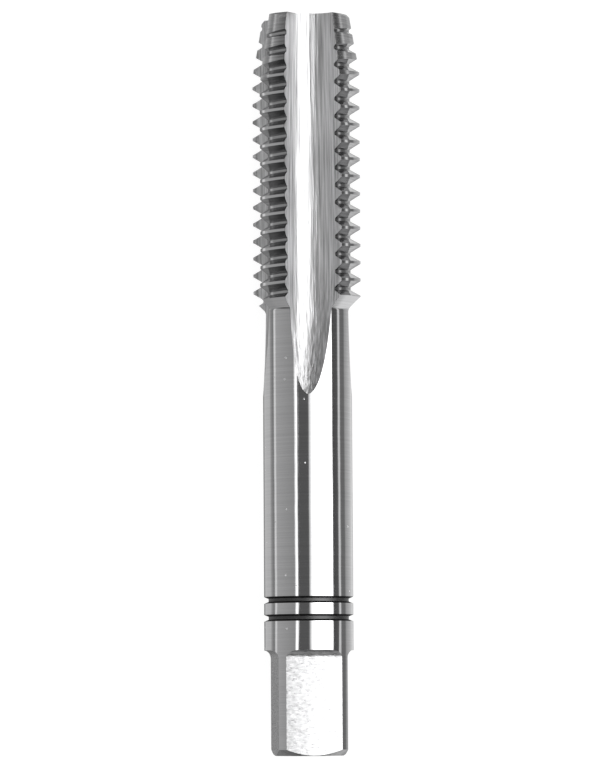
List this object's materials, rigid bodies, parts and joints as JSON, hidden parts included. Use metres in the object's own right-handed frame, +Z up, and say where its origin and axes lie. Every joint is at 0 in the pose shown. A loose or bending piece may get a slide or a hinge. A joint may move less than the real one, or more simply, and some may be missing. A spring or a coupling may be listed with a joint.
{
  "type": "thread tap",
  "caption": "Straight-flute hand tap for cutting metric screw threads, with a tapered lead, plain round shank, marking rings and a driving square.",
  "frame": {"origin": "the middle of the lying tap's footprint, on the surface that it rests on", "axes": "+Y along the tap towards its cutting end, +X to the right seen from above, +Z up. The cutting end is tilted up by about 1.0 degrees, because the thread is thicker than the shank."},
  "size_m": [0.0102, 0.0752, 0.0107],
  "materials": {
    "ground_steel": "bright ground"
  },
  "bodies": {
    "root": {"tap_body": "ground_steel"}
  },
  "joints": []
}
